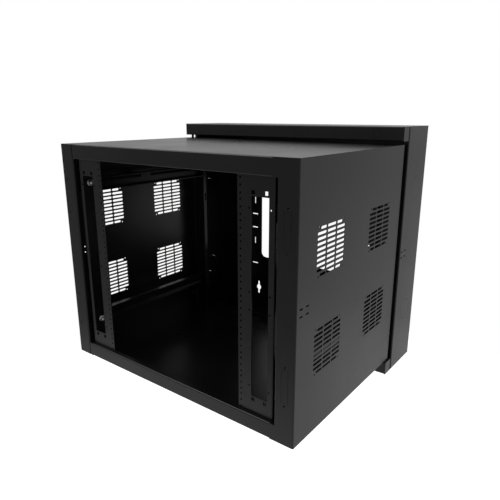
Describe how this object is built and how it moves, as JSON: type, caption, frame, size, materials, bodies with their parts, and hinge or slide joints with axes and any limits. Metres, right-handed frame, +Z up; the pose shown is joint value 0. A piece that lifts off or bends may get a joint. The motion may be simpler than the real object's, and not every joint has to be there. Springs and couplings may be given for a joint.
{
  "type": "wall mount network cabinet",
  "caption": "Open-front swing-out wall rack: shallow pan on the wall, deep vented centre section on two pivot rods, two rack rails on slotted brackets.",
  "frame": {"origin": "on the wall plane, at the middle of the four keyholes", "axes": "+X right as seen from the front, +Y into the wall, +Z up"},
  "size_m": [0.768, 0.67, 0.697],
  "materials": {
    "black_powder": "fine-textured black powder coat, low sheen",
    "rail_powder": "smooth black powder coat, semi-gloss",
    "zinc": "clear zinc plate",
    "nylon": "black nylon",
    "knob_plastic": "black moulded plastic"
  },
  "bodies": {
    "pan": {"back_pan": "black_powder", "pan_top": "black_powder", "pan_bottom": "black_powder", "ground_stud": "zinc", "ground_nut": "zinc", "thrust_washer_left": "nylon", "thrust_washer_right": "nylon", "side_knockout_lower_left": "black_powder", "bar_knockout_lower_left": "black_powder", "bar_bush_lower_left": "nylon", "side_knockout_lower_right": "black_powder", "bar_knockout_lower_right": "black_powder", "bar_bush_lower_right": "nylon", "side_knockout_upper_left": "black_powder", "bar_knockout_upper_left": "black_powder", "bar_bush_upper_left": "nylon", "side_knockout_upper_right": "black_powder", "bar_knockout_upper_right": "black_powder", "bar_bush_upper_right": "nylon"},
    "swing": {"top_panel": "black_powder", "bottom_panel": "black_powder", "stile_knockout_lower": "black_powder", "stile_knockout_upper": "black_powder", "side_panel_left": "black_powder", "rack_rail_left": "rail_powder", "side_panel_right": "black_powder", "rack_rail_right": "rail_powder", "rail_bracket_lower_left": "black_powder", "rail_bolt_lower_left": "zinc", "rail_nut_lower_left": "zinc", "rod_guide_lower_left": "black_powder", "rail_bracket_lower_right": "black_powder", "rail_bolt_lower_right": "zinc", "rail_nut_lower_right": "zinc", "rod_guide_lower_right": "black_powder", "rail_bracket_upper_left": "black_powder", "rail_bolt_upper_left": "zinc", "rail_nut_upper_left": "zinc", "rod_guide_upper_left": "black_powder", "rail_bracket_upper_right": "black_powder", "rail_bolt_upper_right": "zinc", "rail_nut_upper_right": "zinc", "rod_guide_upper_right": "black_powder"},
    "rod_lower_left": {"rod_lower_left": "zinc", "knob_lower_left": "knob_plastic"},
    "rod_lower_right": {"rod_lower_right": "zinc", "knob_lower_right": "knob_plastic"},
    "rod_upper_left": {"rod_upper_left": "zinc", "knob_upper_left": "knob_plastic"},
    "rod_upper_right": {"rod_upper_right": "zinc", "knob_upper_right": "knob_plastic"}
  },
  "joints": [
    {"name": "swing_hinge", "type": "hinge", "parent": "pan", "child": "swing", "pos_m": [-0.366, -0.171, -0.0025], "axis": [0, 0, -1], "range_deg": [0, 100]},
    {"name": "rod_lower_left_slide", "type": "slide", "parent": "swing", "child": "rod_lower_left", "axis": [0, 0, -1], "range_m": [-0.018, 0]},
    {"name": "rod_lower_right_slide", "type": "slide", "parent": "swing", "child": "rod_lower_right", "axis": [0, 0, -1], "range_m": [0, 0.018]},
    {"name": "rod_upper_left_slide", "type": "slide", "parent": "swing", "child": "rod_upper_left", "axis": [0, 0, 1], "range_m": [-0.018, 0]},
    {"name": "rod_upper_right_slide", "type": "slide", "parent": "swing", "child": "rod_upper_right", "axis": [0, 0, 1], "range_m": [0, 0.018]}
  ]
}
